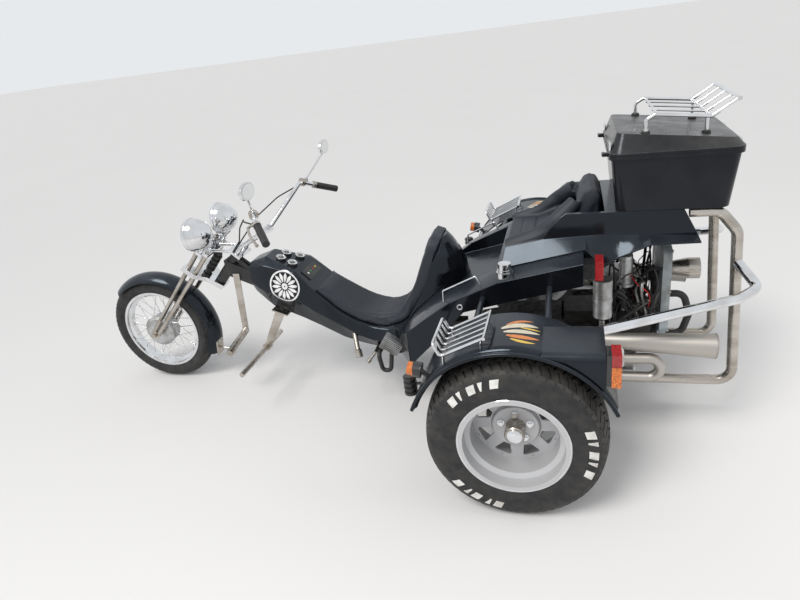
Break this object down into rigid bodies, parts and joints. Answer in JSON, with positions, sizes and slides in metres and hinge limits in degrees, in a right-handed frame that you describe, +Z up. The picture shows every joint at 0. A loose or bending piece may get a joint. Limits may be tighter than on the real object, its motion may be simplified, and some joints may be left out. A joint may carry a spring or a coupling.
{
  "type": "motorized trike",
  "caption": "Low black three-wheeled motorcycle with raked fork, rear boxer engine, chrome racks and a top case.",
  "frame": {"origin": "middle of the footprint on the ground", "axes": "+X forwards, +Y to the rider's left, +Z up"},
  "size_m": [3.3176, 1.8202, 1.38],
  "materials": {
    "black_gloss": "deep gloss black moulded body panels",
    "frame_black": "satin black frame paint",
    "chrome": "bright chrome",
    "steel": "stainless tube, lightly brushed",
    "aluminium": "cast and sheet aluminium, dull",
    "cast_grey": "oily cast engine metal",
    "exhaust_steel": "heat-stained stainless",
    "tyre": "tyre rubber",
    "seat_vinyl": "black ribbed seat cover",
    "black_plastic": "black moulded plastic",
    "rubber": "black rubber",
    "lamp_red": "red lamp lens",
    "lamp_amber": "amber lamp lens",
    "wheel_silver": "silver wheel paint"
  },
  "bodies": {
    "chassis": {"air_horn": "chrome", "body_nose": "black_gloss", "body_tub": "black_gloss", "canisters": "aluminium", "carburettor": "cast_grey", "crank_pulley": "frame_black", "crankcase": "cast_grey", "cylinder_heads": "aluminium", "cylinders": "cast_grey", "drain_hose": "rubber", "driver_seat": "seat_vinyl", "engine_hoses": "rubber", "exhausts": "exhaust_steel", "fan_housing": "aluminium", "fender_racks": "chrome", "fenders": "black_gloss", "foot_controls": "steel", "fuel_filler": "chrome", "horns": "black_plastic", "instruments": "black_plastic", "main_frame": "frame_black", "passenger_pads": "seat_vinyl", "rear_axle": "cast_grey", "rear_hoop": "steel", "regulator": "aluminium", "seat_shell": "black_gloss", "shoulder_rails": "chrome", "side_bars": "chrome", "tail_hood": "black_gloss", "tail_lamps": "lamp_red", "top_case_box": "black_gloss", "turn_signals": "lamp_amber"},
    "steering": {"fork_legs": "steel", "front_axle": "steel", "brake_plate": "aluminium", "yokes": "chrome", "fork_spring": "rubber", "risers": "chrome", "handlebar": "chrome", "grips": "rubber", "levers": "steel", "control_cables": "rubber", "mirrors": "chrome", "headlights": "chrome", "front_fender": "black_gloss"},
    "front_wheel": {"front_rim": "chrome", "front_spokes": "steel", "front_hub": "aluminium", "front_tyre": "tyre"},
    "rear_wheel_left": {"rear_rim_left": "wheel_silver", "rear_hub_left": "steel", "rear_tyre_left": "tyre"},
    "rear_wheel_right": {"rear_rim_right": "wheel_silver", "rear_hub_right": "steel", "rear_tyre_right": "tyre"},
    "case_lid": {"top_case_lid": "black_gloss", "luggage_rack": "chrome"}
  },
  "joints": [
    {"name": "steering_turn", "type": "hinge", "parent": "chassis", "child": "steering", "pos_m": [0.79621, 0, 0.6969], "axis": [-0.682, 0, 0.7314], "range_deg": [-32, 32]},
    {"name": "front_wheel_spin", "type": "hinge", "parent": "steering", "child": "front_wheel", "pos_m": [1.3419, 0, 0.317], "axis": [0, 1, 0], "continuous": true},
    {"name": "rear_wheel_left_spin", "type": "hinge", "parent": "chassis", "child": "rear_wheel_left", "pos_m": [-0.7701, 0.782, 0.336], "axis": [0, 1, 0], "continuous": true},
    {"name": "rear_wheel_right_spin", "type": "hinge", "parent": "chassis", "child": "rear_wheel_right", "pos_m": [-0.7701, -0.782, 0.336], "axis": [0, 1, 0], "continuous": true},
    {"name": "case_lid_open", "type": "hinge", "parent": "chassis", "child": "case_lid", "pos_m": [-1.0921, 0, 1.203], "axis": [0, 1, 0], "range_deg": [0, 70]}
  ]
}
